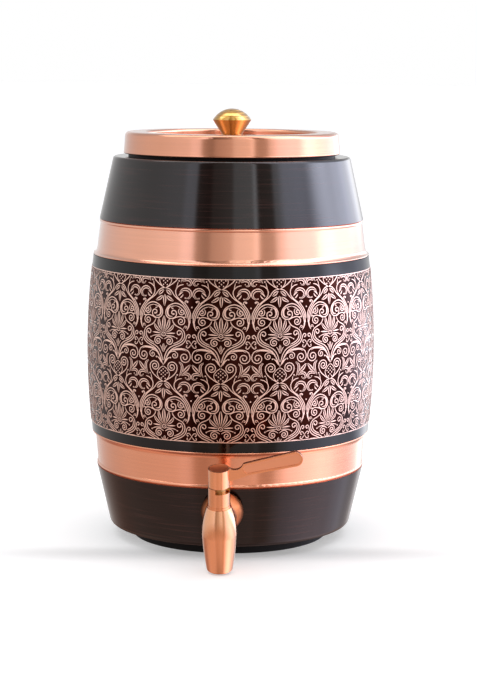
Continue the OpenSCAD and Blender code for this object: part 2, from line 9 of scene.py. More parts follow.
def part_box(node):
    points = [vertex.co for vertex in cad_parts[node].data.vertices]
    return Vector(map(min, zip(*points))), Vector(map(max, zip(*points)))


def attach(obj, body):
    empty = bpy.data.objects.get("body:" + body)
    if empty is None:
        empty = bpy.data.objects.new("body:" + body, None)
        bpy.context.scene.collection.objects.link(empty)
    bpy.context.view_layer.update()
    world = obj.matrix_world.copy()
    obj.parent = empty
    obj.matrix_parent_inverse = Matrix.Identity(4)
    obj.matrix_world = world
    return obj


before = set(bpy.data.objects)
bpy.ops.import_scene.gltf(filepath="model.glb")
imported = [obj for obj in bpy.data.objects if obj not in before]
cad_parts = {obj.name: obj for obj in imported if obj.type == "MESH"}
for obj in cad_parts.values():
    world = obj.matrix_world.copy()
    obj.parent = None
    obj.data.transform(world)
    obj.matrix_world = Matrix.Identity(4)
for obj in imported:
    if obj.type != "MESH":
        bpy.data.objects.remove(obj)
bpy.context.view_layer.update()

bl_info = {
    "name": "Copper water dispenser",
    "version": (1, 0, 0),
    "blender": (4, 5, 0),
    "location": "View3D > Sidebar > Dispenser",
    "description": "Dresses the packed water dispenser with its finishes, its scroll ornament and a studio",
    "category": "Object",
}

MM = 0.001


def srgb(text):
    """Linear colour of a hexadecimal one."""
    parts = [int(text[i:i + 2], 16) / 255 for i in (1, 3, 5)]
    return tuple(p / 12.92 if p <= 0.04045 else ((p + 0.055) / 1.055) ** 2.4 for p in parts)


def colour_property(name, description, text):
    """Colour that a user may change."""
    return FloatVectorProperty(
        name=name, description=description, subtype="COLOR", size=3, min=0, max=1, default=srgb(text)
    )


class OrnamentSizes(bpy.types.PropertyGroup):
    """Sizes of the scroll ornament on the belly."""

    repeats: IntProperty(
        name="Repeats", description="Number of motifs round the belly", default=16, min=6, max=40
    )
    lower_margin: FloatProperty(
        name="Lower margin", description="Plain band between the lower hoop and the ornament",
        default=7.3 * MM, unit="LENGTH",
    )
    upper_margin: FloatProperty(
        name="Upper margin", description="Plain band between the ornament and the upper hoop",
        default=8.4 * MM, unit="LENGTH",
    )
    motif_height: FloatProperty(
        name="Motif height", description="Height after which the motif repeats", default=64.6 * MM,
        unit="LENGTH",
    )
    palmette_height: FloatProperty(
        name="Palmette height", description="Height of the upper palmette above the base",
        default=160.1 * MM, unit="LENGTH",
    )
    turn: FloatProperty(
        name="Turn", description="Turn of the first motif from the front", default=math.radians(-0.65),
        subtype="ANGLE",
    )
    thread_width: FloatProperty(
        name="Thread width", description="Width of the raised copper line", default=0.9 * MM, unit="LENGTH"
    )
    thread_height: FloatProperty(
        name="Thread height", description="Height of the raised line above the ground", default=0.22 * MM,
        unit="LENGTH",
    )


class FinishColours(bpy.types.PropertyGroup):
    """Colours of the finishes."""

    bright_copper: colour_property("Bright copper", "Brushed copper of hoops and lid", "#d98f6a")
    tap_copper: colour_property("Tap copper", "Polished copper of the tap", "#db925b")
    lever_copper: colour_property("Lever copper", "Polished copper of the tap's lever", "#e59c66")
    # The crests' pale colour is worn copper and painted light; the slopes' dark colour is painted shade, so
    # that the threads look raised
    top_wear_and_light_copper: colour_property("Thread copper", "Worn copper on top of the raised ornament", "#f2c5b2")
    slope_shade_copper: colour_property("Edge copper", "Dark copper on the ornament's slopes", "#582214")
    inner_copper: colour_property("Inner copper", "Bare copper inside the vessel", "#b9714e")
    lacquer: colour_property("Lacquer", "Dark lacquer of the shells", "#1a0b09")
    ground: colour_property("Ground", "Dark lacquer on the belly", "#0b0504")
    etched_copper: colour_property("Etched copper", "Dark copper between the ornament's lines", "#2b100b")
    brass: colour_property("Brass", "Polished brass of knob and valve", "#bf8c26")
    rubber: colour_property("Rubber", "Black rubber of foot and gaskets", "#060505")
    steel: colour_property("Steel", "Plain steel of screws and clip", "#b4b7ba")


class StudioSettings(bpy.types.PropertyGroup):
    """Camera and light of the studio."""

    camera_azimuth: FloatProperty(
        name="Camera azimuth", description="Turn of the camera from the front, to the right",
        default=math.radians(3.0), subtype="ANGLE",
    )
    camera_reach: FloatProperty(
        name="Camera reach", description="Level distance from the barrel's axis to the camera",
        default=1.4222, unit="LENGTH",
    )
    camera_height: FloatProperty(
        name="Camera height", description="Height of the camera above the base", default=0.3451, unit="LENGTH"
    )
    camera_pitch: FloatProperty(
        name="Camera pitch", description="Downward tilt of the camera", default=math.radians(8.107),
        subtype="ANGLE",
    )
    camera_swing: FloatProperty(
        name="Camera swing", description="Turn of the camera past the barrel's axis",
        default=math.radians(0.232), subtype="ANGLE",
    )
    camera_roll: FloatProperty(
        name="Camera roll", description="Roll of the camera", default=math.radians(0.40), subtype="ANGLE"
    )
    lens: FloatProperty(
        name="Lens", description="Focal length of the lens in millimetres, on a 36 mm high frame",
        default=103.2, unit="CAMERA",
    )
    lamp_power: FloatProperty(
        name="Lamp power", description="Power of the overhead soft lamp in watts", default=9.0, min=0,
        unit="POWER",
    )
    floor_colour: colour_property("Floor", "Pale floor", "#eeeef0")


class Value:
    """Socket in a node tree, on which arithmetic adds Math nodes."""

    def __init__(self, shade, socket):
        self.shade = shade
        self.socket = socket

    def math(self, operation, *operands):
        sockets = dict(enumerate(operands))
        return self.shade.node("ShaderNodeMath", {"operation": operation}, sockets)

    def other(self, name):
        """Another output of the same node."""
        return Value(self.shade, self.socket.node.outputs[name])

    def __add__(self, operand):
        return self.math("ADD", self, operand)

    def __sub__(self, operand):
        return self.math("SUBTRACT", self, operand)

    def __rsub__(self, operand):
        return self.math("SUBTRACT", operand, self)

    def __mul__(self, operand):
        return self.math("MULTIPLY", self, operand)

    def __truediv__(self, operand):
        return self.math("DIVIDE", self, operand)

    def __neg__(self):
        return self.math("MULTIPLY", self, -1)

    def __lt__(self, operand):
        return self.math("LESS_THAN", self, operand)

    __radd__ = __add__
    __rmul__ = __mul__

    def root(self):
        return self.math("SQRT", self)

    def angle_from(self, operand):
        return self.math("ARCTAN2", self, operand)

    def either(self, operand):
        return self.math("MAXIMUM", self, operand)

    def at_most(self, operand):
        return self.math("MINIMUM", self, operand)

    def spread(self, low, high):
        """This value's way from low to high, eased and kept from 0 to 1."""
        settings = {"interpolation_type": "SMOOTHSTEP"}
        return self.shade.node(
            "ShaderNodeMapRange", settings, {"Value": self, "From Min": low, "From Max": high}
        )

    def within(self, start, end):
        """1 where this value lies between two soft edges, each a pair of places, and 0 outside."""
        return self.spread(*start) * (1 - self.spread(*end))


class Shade:
    """Node tree of a material or world, built from Python expressions."""

    def __init__(self, owner):
        owner.use_nodes = True
        self.tree = owner.node_tree
        self.tree.nodes.clear()

    def node(self, kind, settings=None, sockets=None, output=0):
        """New node with its settings and then its sockets, as the value of one output."""
        made = self.tree.nodes.new(kind)
        for name, value in (settings or {}).items():
            if name == "stops":
                self.set_stops(made.color_ramp, value)
            else:
                setattr(made, name, value)
        for name, value in (sockets or {}).items():
            if isinstance(value, Value):
                self.tree.links.new(value.socket, made.inputs[name])
            else:
                made.inputs[name].default_value = value
        return Value(self, made.outputs[output]) if made.outputs else None

    def set_stops(self, ramp, stops):
        """Stops of a ramp, each a place and a colour."""
        ramp.interpolation = "EASE"
        while len(ramp.elements) < len(stops):
            ramp.elements.new(0.5)
        for element, (place, colour) in zip(ramp.elements, stops):
            element.position = place
            element.color = (*colour, 1)

    def mix(self, first, second, share, blend="MIX"):
        """Colour on the way from first to second, or to both blended."""
        colours = [c if isinstance(c, Value) else (*c, 1) for c in (first, second)]
        settings = {"data_type": "RGBA", "blend_type": blend}
        return self.node("ShaderNodeMix", settings, {0: share, 6: colours[0], 7: colours[1]}, output=2)

    def place(self):
        """Place on the piece, in metres in the frame of its body."""
        return self.node("ShaderNodeSeparateXYZ", None, {0: self.node("ShaderNodeTexCoord", output="Object")})

    def noise(self, x, y, z, scale, detail=2.0):
        vector = self.node("ShaderNodeCombineXYZ", None, {0: x, 1: y, 2: z})
        sockets = {"Vector": vector, "Scale": scale, "Detail": detail, "Roughness": 0.6}
        return self.node("ShaderNodeTexNoise", None, sockets)

    def bump(self, height, strength, depth):
        return self.node("ShaderNodeBump", None, {"Strength": strength, "Distance": depth, "Height": height})

    def surface(self, **inputs):
        """Principled shader with these inputs, as the tree's result."""
        sockets = {}
        for name, value in inputs.items():
            label = name.replace("_", " ").title().replace("Ior", "IOR")
            plain_colour = isinstance(value, tuple) and len(value) == 3
            sockets[label] = (*value, 1) if plain_colour else value
        shader = self.node("ShaderNodeBsdfPrincipled", None, sockets)
        self.node("ShaderNodeOutputMaterial", None, {"Surface": shader})


def new_material(name):
    material = bpy.data.materials.new(name)
    return material, Shade(material)


def scaled(colour, factor):
    return tuple(min(1.0, part * factor) for part in colour)


def turned_lines(shade, pitch, drift=9.0, lean=0.62):
    """Lines that spinning leaves: they follow the turn and change along a wall and across a flat."""
    x = shade.place()
    y = x.other("Y")
    z = x.other("Z")
    radius = (x * x + y * y).root()
    along = (z + radius * lean) * (1 / pitch)
    return shade.noise(x * drift, y * drift, along, 1.0)


def brushed_copper(name, colour, gloss, rough=0.21):
    """Copper brushed while it turned: fine and broad lines, a faint bloom and a clear lacquer's gloss."""
    material, shade = new_material(name)
    fine = turned_lines(shade, 0.32 * MM)
    broad = turned_lines(shade, 1.7 * MM, drift=4.0)
    x = shade.place()
    bloom = shade.noise(x, x.other("Y"), x.other("Z"), 16.0, 3.0)
    lines = fine * 0.55 + broad * 0.45
    base = shade.mix(scaled(colour, 0.86), scaled(colour, 1.13), lines)
    tint = (colour[0] * 0.95, colour[1] * 0.84, colour[2] * 0.76)
    base = shade.mix(base, tint, bloom.spread(0.45, 0.85) * 0.3)
    shade.surface(
        base_color=base,
        metallic=1.0,
        roughness=rough + (lines - 0.5) * 0.12 + bloom * 0.04,
        anisotropic=0.7,
        anisotropic_rotation=0.25,
        coat_weight=gloss,
        coat_roughness=0.12,
        coat_ior=2.0,
        normal=shade.bump(lines, 0.3, 0.04 * MM),
    )
    return material


# A point on the lever's axis and the way that the axis leans, each as back and up, in metres
LEVER_PIVOT = (-0.1308362, 0.0290823)
LEVER_LEAN = (-0.222101, 0.975024)
# Height of the cap's top along that axis
CAP_TOP = 48.3 * MM
# Soft edges of the painted patches: the painted shade at the wall, the lever's panel painted paler, its edges
# painted as shade and the dish in its cap painted as a dark reflection
WALL_SHADE = (-117 * MM, -105 * MM)
BLADE_BACK = (-1.45 * MM, -1.3 * MM)
PANEL_START = (9 * MM, 12 * MM)
PANEL_FRONT = (1.05 * MM, 1.35 * MM)
EDGE_START = (7 * MM, 9 * MM)
EDGE_FRONT = (0.7 * MM, 0.85 * MM)
DISH_RADIUS = (6.4 * MM, 6.8 * MM)
DISH_FLOOR = (CAP_TOP - 1.6 * MM, CAP_TOP - 1.1 * MM)


def lever_place(y, z):
    """Places ahead of the lever's axis and up along it."""
    back = y - LEVER_PIVOT[0]
    rise = z - LEVER_PIVOT[1]
    ahead = rise * LEVER_LEAN[0] - back * LEVER_LEAN[1]
    return ahead, rise * LEVER_LEAN[1] + back * LEVER_LEAN[0]


def near_wall(x, y, z):
    """How much of the tap's bell is painted with the wall's shade."""
    return y.spread(*WALL_SHADE)


def on_panel(x, y, z):
    """How much of the lever's blade lies between its back and its front rim: its panel and its edges, where
    painted light goes.
    """
    ahead = lever_place(y, z)[0]
    return x.spread(*PANEL_START) * ahead.within(BLADE_BACK, PANEL_FRONT)


def on_edges(x, y, z):
    """How much of the lever's blade lies between its back and its panel: its edges, where painted shade goes.
    """
    ahead = lever_place(y, z)[0]
    return x.spread(*EDGE_START) * ahead.within(BLADE_BACK, EDGE_FRONT)


def in_dish(x, y, z):
    """How much of the lever's cap lies in the dish on its top, which is tinted dark as a painted reflection.
    """
    ahead, up = lever_place(y, z)
    radius = (x * x + ahead * ahead).root()
    return (1 - radius.spread(*DISH_RADIUS)) * up.spread(*DISH_FLOOR)


def polished_copper(name, colour, patches, rough=0.2):
    """Cast copper, polished by hand, with faint scratches along the stem, and duller patches with painted
    shade, light and reflection in their colour.
    """
    material, shade = new_material(name)
    x = shade.place()
    y = x.other("Y")
    z = x.other("Z")
    scratches = shade.noise(x * 2600, y * 2600, z * 120, 1.0)
    bloom = shade.noise(x, y, z, 70.0, 4.0)
    base = shade.mix(scaled(colour, 0.86), scaled(colour, 1.14), scratches * 0.6 + bloom * 0.4)
    dull = 0
    for patch, tint in patches:
        share = patch(x, y, z)
        base = shade.mix(base, tuple(part * tinted for part, tinted in zip(colour, tint)), share)
        dull = share + dull * (1 - share)
    shade.surface(
        base_color=base,
        metallic=1.0,
        roughness=rough + (scratches - 0.5) * 0.12 + bloom * 0.08 + dull * 0.14,
        coat_weight=1 - dull,
        coat_roughness=0.1,
        coat_ior=1.9,
        normal=shade.bump(scratches, 0.15, 0.02 * MM),
    )
    return material


# Heights between which the lower shell's edge turns dull, and the softness of the etched ground's ends
DULL_EDGE = (9 * MM, 12 * MM)
ETCHED_FADE = 0.2 * MM


def lacquered_shell(name, lacquer, inner, floor_side, ior, rough=0.14, etched=None):
    """Dark lacquer over brushed copper, bare copper inside, and etched copper between two heights."""
    material, shade = new_material(name)
    x = shade.place()
    y = x.other("Y")
    z = x.other("Z")
    facing = shade.node(
        "ShaderNodeSeparateXYZ", None, {0: shade.node("ShaderNodeNewGeometry", output="True Normal")}
    )
    radius = (x * x + y * y).root()
    outward = (facing * x + facing.other("Y") * y) / radius
    inside = (outward + facing.other("Z") * floor_side) < 0.0
    fine = turned_lines(shade, 0.4 * MM)
    broad = turned_lines(shade, 2.1 * MM, drift=3.0)
    lines = fine * 0.5 + broad * 0.5
    cloud = shade.noise(x, y, z, 22.0, 3.0)
    streaks = turned_lines(shade, 1.1 * MM, drift=22.0)
    dark = shade.mix(scaled(lacquer, 0.4), scaled(lacquer, 1.5), lines.spread(0.25, 0.8))
    dark = shade.mix(dark, scaled(lacquer, 4.0), streaks.spread(0.5, 0.72))
    dark = shade.mix(dark, (lacquer[0] * 1.5, lacquer[1] * 1.3, lacquer[2] * 1.2), cloud * 0.4)
    bare = shade.mix(scaled(inner, 0.75), scaled(inner, 1.15), lines * 0.5 + cloud * 0.5)
    metal = inside
    if etched:
        colour, low, high = etched
        ends = ((height - ETCHED_FADE, height + ETCHED_FADE) for height in (low, high))
        pitted = z.within(*ends)
        dark = shade.mix(dark, shade.mix(scaled(colour, 0.6), scaled(colour, 1.4), cloud), pitted)
        metal = inside.either(pitted)
    dull_edge = 1 - z.spread(*DULL_EDGE)
    shade.surface(
        base_color=shade.mix(dark, bare, inside),
        metallic=metal,
        roughness=rough + (lines - 0.5) * 0.1 + (streaks - 0.5) * 0.08 + inside * 0.2 + dull_edge * 0.5,
        ior=ior,
        normal=shade.bump(lines, 0.25, 0.03 * MM),
    )
    return material


def turned_brass(name, colour, rough=0.16):
    """Brass as it leaves the lathe and the polishing wheel."""
    material, shade = new_material(name)
    rings = turned_lines(shade, 0.22 * MM, drift=30.0, lean=0.8)
    x = shade.place()
    bloom = shade.noise(x, x.other("Y"), x.other("Z"), 120.0, 3.0)
    base = shade.mix(scaled(colour, 0.78), scaled(colour, 1.2), rings * 0.5 + bloom * 0.5)
    shade.surface(
        base_color=base,
        metallic=1.0,
        roughness=rough + rings * 0.12,
        coat_weight=1.0,
        coat_roughness=0.08,
        coat_ior=1.7,
        normal=shade.bump(rings, 0.3, 0.03 * MM),
    )
    return material


def moulded_rubber(name, colour):
    """Matt black rubber with a fine moulded grain."""
    material, shade = new_material(name)
    x = shade.place()
    grain = shade.noise(x, x.other("Y"), x.other("Z"), 1400.0, 3.0)
    dust = shade.noise(x, x.other("Y"), x.other("Z"), 45.0, 3.0)
    base = shade.mix(colour, scaled(colour, 2.6), dust.spread(0.45, 0.8) * 0.6)
    shade.surface(
        base_color=base,
        metallic=0.0,
        roughness=0.62 + grain * 0.2,
        specular_ior_level=0.15,
        normal=shade.bump(grain, 0.3, 0.05 * MM),
    )
    return material


def plain_steel(name, colour):
    """Machined steel with fine turning marks."""
    material, shade = new_material(name)
    marks = turned_lines(shade, 0.18 * MM, drift=40.0)
    x = shade.place()
    stain = shade.noise(x, x.other("Y"), x.other("Z"), 160.0, 3.0)
    base = shade.mix(scaled(colour, 0.8), scaled(colour, 1.1), marks * 0.6 + stain * 0.4)
    shade.surface(
        base_color=base,
        metallic=1.0,
        roughness=0.28 + marks * 0.16,
        normal=shade.bump(marks, 0.25, 0.02 * MM),
    )
    return material


def raised_copper(name, colour):
    """Copper of the raised ornament, with a fine grain and worn patches."""
    material, shade = new_material(name)
    x = shade.place()
    y = x.other("Y")
    z = x.other("Z")
    grain = shade.noise(x, y, z, 1500.0, 2.0)
    patches = shade.noise(x, y, z, 60.0, 3.0)
    worn = shade.mix(scaled(colour, 0.78), scaled(colour, 1.18), grain * 0.4 + patches * 0.6)
    shade.surface(
        base_color=worn,
        metallic=1.0,
        roughness=0.36 + grain * 0.16,
        coat_weight=1.0,
        coat_roughness=0.3,
        coat_ior=1.75,
        normal=shade.bump(grain, 0.25, 0.03 * MM),
    )
    return material


def dress(material, *names):
    """Gives solids of the frame this finish."""
    for name in names:
        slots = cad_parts[name].data.materials
        slots.clear()
        slots.append(material)


# Half the width of one motif as it is drawn below, and lengths over which threads thicken, in millimetres
DRAWN_HALF = 20.3
LINE_TAPER = 1.6
SCROLL_TAPER = 2.0
# Degrees between points of a scroll, and how evenly it closes in
SCROLL_STEP = 23
SCROLL_CLOSING = 0.85
# Half width from which a leaf is grooved, in millimetres, and its ridges' place and width as shares of it
GROOVED_FROM = 0.9
RIDGE_PLACE = 0.6
RIDGE_WIDTH = 0.8


class Pen:
    """Draws threads, leaves and beads flat, in millimetres across and above a palmette's centre."""

    def __init__(self, width, stretch):
        self.width = width
        self.stretch = stretch
        self.threads = []
        self.beads = []

    def add(self, points, widths, mirrored):
        for side in (1, -1) if mirrored else (1,):
            self.threads.append((points * np.array([side * self.stretch, 1]), widths))

    def line(self, places, width=1.0, ends=0.55, mirrored=True):
        """Smooth thread through places, narrower at both ends."""
        points = smooth_path(places)
        to_end = np.minimum(length_along(points), length_along(points[::-1])[::-1])
        ramp = np.minimum(1, to_end / LINE_TAPER)
        self.add(points, self.width * width * (ends + (1 - ends) * ramp), mirrored)

    def scroll(self, places, centre, turn, end_radius, width=1.0, bead=0.75):
        """Thread through places that winds on round centre by turn degrees, to a bead."""
        lead = smooth_path(places)
        start = lead[-1] - np.array(centre)
        start_radius = math.hypot(*start)
        start_angle = math.atan2(start[1], start[0])
        steps = max(5, round(abs(turn) / SCROLL_STEP))
        share = np.arange(1, steps + 1) / steps
        radius = start_radius + (end_radius - start_radius) * share ** SCROLL_CLOSING
        angle = start_angle + math.radians(turn) * share
        wound = np.array(centre) + np.stack([radius * np.cos(angle), radius * np.sin(angle)], 1)
        points = np.concatenate([lead, wound])
        ramp = np.minimum(1, length_along(points) / SCROLL_TAPER)
        self.add(points, self.width * width * (0.5 + 0.5 * ramp), True)
        self.bead(wound[-1], bead)

    def leaf(self, places, half_width, mirrored=True, lean=0.8):
        """Leaf along places with pointed ends, broad near its tip if lean is above 1, grooved if broad."""
        points = smooth_path(places)
        share = length_along(points) / length_along(points)[-1]
        half = half_width * np.sin(np.pi * (0.06 + 0.88 * share ** lean))
        if half_width < GROOVED_FROM:
            self.add(points, 2 * half, mirrored)
            return
        for side in (RIDGE_PLACE, -RIDGE_PLACE):
            self.add(points + side_of(points) * half[:, None] * side, RIDGE_WIDTH * half, mirrored)

    def bead(self, centre, radius, mirrored=True):
        for side in (1, -1) if mirrored else (1,):
            self.beads.append((float(centre[0]) * side * self.stretch, float(centre[1]), radius))


def length_along(points):
    """Distance of each point from the first, along the path."""
    return np.concatenate([[0], np.cumsum(np.hypot(*np.diff(points, axis=0).T))])


def side_of(points):
    """Unit vectors across a path, to its left."""
    tangent = np.gradient(points, axis=0)
    tangent /= np.maximum(np.hypot(*tangent.T), 1e-9)[:, None]
    return np.stack([-tangent[:, 1], tangent[:, 0]], 1)


def smooth_path(places, step=1.15):
    """Points about a step apart on a smooth curve through places."""
    places = np.array(places, float)
    ends = np.concatenate([[2 * places[0] - places[1]], places, [2 * places[-1] - places[-2]]])
    points = [places[0]]
    for before, start, end, after in zip(ends, ends[1:], ends[2:], ends[3:]):
        count = max(2, round(math.hypot(*(end - start)) / step))
        for t in np.arange(1, count + 1) / count:
            bend = 2 * start + (end - before) * t + (2 * before - 5 * start + 4 * end - after) * t ** 2
            points.append((bend + (3 * start - before - 3 * end + after) * t ** 3) / 2)
    return np.array(points)


def draw_palmette(pen):
    """Fan of grooved petals over a ringed bead, with two volutes and a bud below it."""
    ring = [(1.35 * math.sin(a), 1.35 * math.cos(a)) for a in np.linspace(0, math.pi, 7)]
    pen.line(ring, 0.8, 1.0)
    pen.bead((0, 0), 0.55, False)
    pen.leaf([(0, 1.9), (0, 5.5), (0, 9.5), (0, 12.6)], 1.55, False, 1.3)
    pen.leaf([(0.9, 1.7), (2.5, 4.6), (3.7, 7.6), (4.0, 10.8)], 1.3, True, 1.4)
    pen.leaf([(1.5, 1.1), (4.1, 2.7), (6.2, 4.6), (7.5, 7.0)], 1.15, True, 1.4)
    pen.leaf([(1.9, 0.4), (5.0, 0.8), (8.6, 1.0)], 0.7, True, 1.2)
    pen.line([(1.4, -0.8), (4.4, -0.9), (7.4, -1.3), (9.6, -2.3)], 0.85, 0.4)
    pen.bead((9.9, -2.5), 0.75)
    pen.scroll([(0.5, -3.3), (1.7, -2.6)], (4.3, -4.7), -600, 0.6)
    pen.line([(2.7, -7.7), (1.5, -9.2), (0.2, -12.2)], 0.85)
    pen.leaf([(0, -6.4), (0, -10.8)], 0.9, False)


def draw_frame(pen):
    """Ogee lines that meet below the palmette, with a volute inside and a hook outside."""
    pen.line([
        (6.3, 10.3), (7.1, 8.4), (8.8, 6.5), (11.2, 5.3), (13.6, 4.1), (15.2, 2.0), (15.6, -0.4),
        (14.9, -2.8), (13.0, -4.9), (10.4, -6.4), (7.4, -7.6), (4.7, -9.2), (2.8, -11.4), (1.4, -14.4),
        (0.4, -18.2),
    ])
    pen.scroll([
        (7.4, -6.3), (10.4, -5.0), (12.8, -3.2), (14.0, -0.8), (13.8, 1.2), (12.9, 2.7), (11.6, 3.1),
    ], (11.6, 1.2), 250, 0.9, 1.0, 0.85)
    pen.scroll([
        (0.2, -21.2), (1.3, -18.6), (2.8, -15.0), (4.5, -12.0), (6.8, -9.8), (9.8, -8.2), (12.9, -6.8),
        (15.3, -4.8), (16.5, -2.5), (17.0, -0.6), (18.0, 0.6),
    ], (18.5, -0.6), -200, 0.8, 1.0, 0.8)


def draw_arch(pen):
    """Double arch over the palmette that winds into a fat volute, and the smaller volutes under it."""
    pen.scroll([
        (18.3, 8.6), (17.9, 11.6), (16.8, 15.0), (15.3, 17.9), (13.0, 20.2), (9.4, 21.6), (5.7, 20.9),
        (2.7, 18.8), (1.3, 15.8), (1.8, 12.9), (3.8, 11.2), (6.6, 11.2), (8.9, 12.6), (9.3, 14.8),
    ], (7.0, 14.9), 290, 0.8, 1.1, 0.9)
    pen.line([(16.6, 11.6), (15.7, 14.3), (13.9, 17.0), (11.6, 19.0), (8.8, 19.9)], 0.85, 0.4)
    pen.leaf([(5.4, 19.6), (3.1, 17.8), (2.6, 14.9), (3.7, 12.8), (6.4, 12.5)], 0.85)
    pen.scroll([(8.8, 19.9), (6.8, 19.6)], (6.5, 18.5), 200, 0.7, 0.8, 0.6)
    pen.scroll([(11.6, 18.2), (10.9, 17.2)], (13.2, 15.9), 480, 0.6)
    pen.scroll([(6.6, 10.5), (8.6, 11.8), (11.4, 12.6)], (12.7, 9.4), -560, 0.7)
    pen.leaf([(13.4, 12.3), (15.2, 12.3), (17.0, 12.7)], 0.5)
    pen.scroll([(14.5, 4.5), (15.3, 5.9)], (16.2, 5.4), -260, 0.4, 0.8, 0.5)
    pen.leaf([(18.9, 10.4), (18.5, 7.2), (17.8, 4.9), (16.8, 3.2)], 0.75)


def draw_sprig(pen):
    """Bud and four leaves on the column, and the long line beside them."""
    pen.leaf([(0, 27.2), (0, 23.4), (0, 19.5)], 1.4, False)
    pen.leaf([(1.5, 26.4), (3.6, 24.6), (6.8, 23.0)], 1.35)
    pen.leaf([(0.8, 30.3), (2.8, 29.0), (4.9, 27.0)], 1.35, True, 1.0)
    pen.line([
        (0.2, 31.8), (3.2, 31.2), (5.2, 29.6), (6.6, 27.6), (8.6, 25.6), (11.0, 23.9), (13.1, 22.2),
        (15.0, 20.2), (17.0, 17.4), (18.3, 14.4), (19.0, 11.4), (19.3, 8.4),
    ])


def draw_heart(pen):
    """Field between two columns: its outline, leafy crescents, hooks and paired leaves."""
    pen.line([
        (13.8, -30.0), (11.2, -30.7), (9.1, -32.3), (8.1, -34.4), (8.4, -36.9), (10.0, -39.2), (12.6, -41.3),
        (15.0, -43.0),
    ])
    pen.line([(8.7, -32.8), (9.2, -30.4), (9.7, -28.4)], 0.85, 0.5)
    pen.bead((10.4, -27.7), 0.8)
    pen.leaf([
        (11.2, 29.0), (13.4, 31.0), (16.2, 31.4), (18.6, 30.0), (19.3, 27.6), (18.0, 25.6), (15.6, 25.1),
    ], 1.3)
    pen.bead((15.4, 25.4), 0.7)
    pen.leaf([(10.4, 26.8), (11.7, 28.4), (13.6, 29.3)], 0.7)
    pen.leaf([(11.4, 25.2), (12.9, 26.4), (13.8, 28.0)], 0.6)
    pen.scroll([
        (19.8, 11.4), (19.3, 15.2), (17.6, 18.7), (15.9, 20.9), (15.2, 22.6),
    ], (16.4, 22.7), -170, 0.6, 1.0, 1.05)
    pen.bead((DRAWN_HALF, 19.2), 0.8, False)
    pen.leaf([(14.9, -25.5), (17.2, -23.3), (19.7, -20.2)], 1.45)
    pen.leaf([
        (13.4, -28.0), (15.6, -26.7), (18.2, -26.9), (19.5, -28.7), (18.6, -30.4), (16.6, -30.3),
    ], 1.15)
    pen.bead((16.4, -29.4), 0.6)
    pen.leaf([(11.6, -18.6), (13.6, -20.4), (14.0, -23.2), (13.1, -26.2), (11.8, -28.6)], 1.05)


def draw_branches(pen):
    """Spirals and branches below the ogee's point, the berry and the cross between columns."""
    pen.scroll([
        (0.2, -33.0), (3.4, -31.2), (6.4, -29.2), (8.8, -26.9), (10.3, -24.0), (10.2, -21.4),
    ], (6.4, -22.4), 620, 0.8)
    pen.scroll([
        (2.4, -16.4), (3.9, -13.5), (6.2, -11.7), (8.8, -11.5), (10.6, -13.0),
    ], (8.4, -14.2), -420, 0.5, 0.9, 0.7)
    pen.scroll([
        (3.4, -14.6), (5.3, -11.5), (8.6, -9.9), (12.4, -9.3), (16.0, -9.7), (18.7, -11.4), (19.7, -14.0),
    ], (15.7, -15.3), -560, 0.9)
    pen.leaf([(7.4, -10.9), (10.4, -10.1), (14.6, -10.0), (17.0, -11.2)], 0.6)
    pen.leaf([(1.2, -20.0), (2.6, -17.4), (4.8, -15.7)], 0.75)
    pen.bead((5.3, -16.0), 0.85)
    pen.line([(0.2, -22.2), (2.6, -23.8), (4.5, -26.6), (4.5, -28.6), (3.0, -31.0), (0.9, -32.6)], 0.8, 1.0)
    for column, row in ((0, 0), (1, 1), (0, 2), (2, 2), (1, 3), (0, 4), (1, 5)):
        pen.bead((1.5 * column, -24.2 - 1.3 * row), 0.72, column > 0)
    pen.scroll([(DRAWN_HALF, -6.0), (19.2, -4.4)], (17.8, -4.9), 230, 0.7, 0.85, 0.75)
    pen.scroll([(DRAWN_HALF, -6.0), (18.9, -8.0)], (17.6, -7.6), -200, 0.6, 0.85, 0.6)


def belly_radius():
    """Largest radius of the belly, in metres."""
    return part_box("middle_shell")[1].x


def ornament_heights():
    """Lowest and highest level of the ornament, in metres."""
    sizes = bpy.context.scene.ornament_sizes
    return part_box("lower_hoop")[1].z + sizes.lower_margin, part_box("upper_hoop")[0].z - sizes.upper_margin


def motif_half_width():
    """Half the width of one motif on the belly, in millimetres."""
    return math.pi * belly_radius() / bpy.context.scene.ornament_sizes.repeats / MM


def belly_profile():
    """Heights and radii of the belly's outside, from the frame's own mesh."""
    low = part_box("lower_hoop")[1].z
    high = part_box("upper_hoop")[0].z
    radii = {}
    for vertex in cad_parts["middle_shell"].data.vertices:
        x, y, z = vertex.co
        radius = math.hypot(x, y)
        outward = (vertex.normal.x * x + vertex.normal.y * y) / radius
        if outward > 0.5 and low - MM / 10 <= z <= high + MM / 10:
            height = round(z, 5)
            radii[height] = max(radius, radii.get(height, 0))
    heights = sorted(radii)
    return heights, [radii[height] for height in heights]


def clipped(points, widths, low, high):
    """Stretches of a thread between two heights, cut straight where it leaves them."""
    rows = list(zip(points, widths))
    stretches = []
    current = []
    for (start, start_width), (end, end_width) in zip(rows, rows[1:]):
        inside = low <= start[1] <= high
        if inside:
            current.append((start, start_width))
        for limit in (low, high):
            if (start[1] - limit) * (end[1] - limit) < 0:
                share = (limit - start[1]) / (end[1] - start[1])
                width = start_width + (end_width - start_width) * share
                current.append((start + (end - start) * share, width))
                if inside:
                    stretches.append(current)
                    current = []
                inside = not inside
    if low <= points[-1][1] <= high:
        current.append(rows[-1])
    stretches.append(current)
    return [
        (np.array([p for p, w in s]), np.array([w for p, w in s])) for s in stretches if len(s) > 2
    ]


# Half width of a thread's crest and the steepest rise to it, both as shares of the thread's width
CREST_HALF = 0.31
CREST_RISE = 0.4
# Radius of a bead's top as a share of its foot's, and its height as a share of a thread's
DOME_TOP = 0.62
DOME_RISE = 1.15


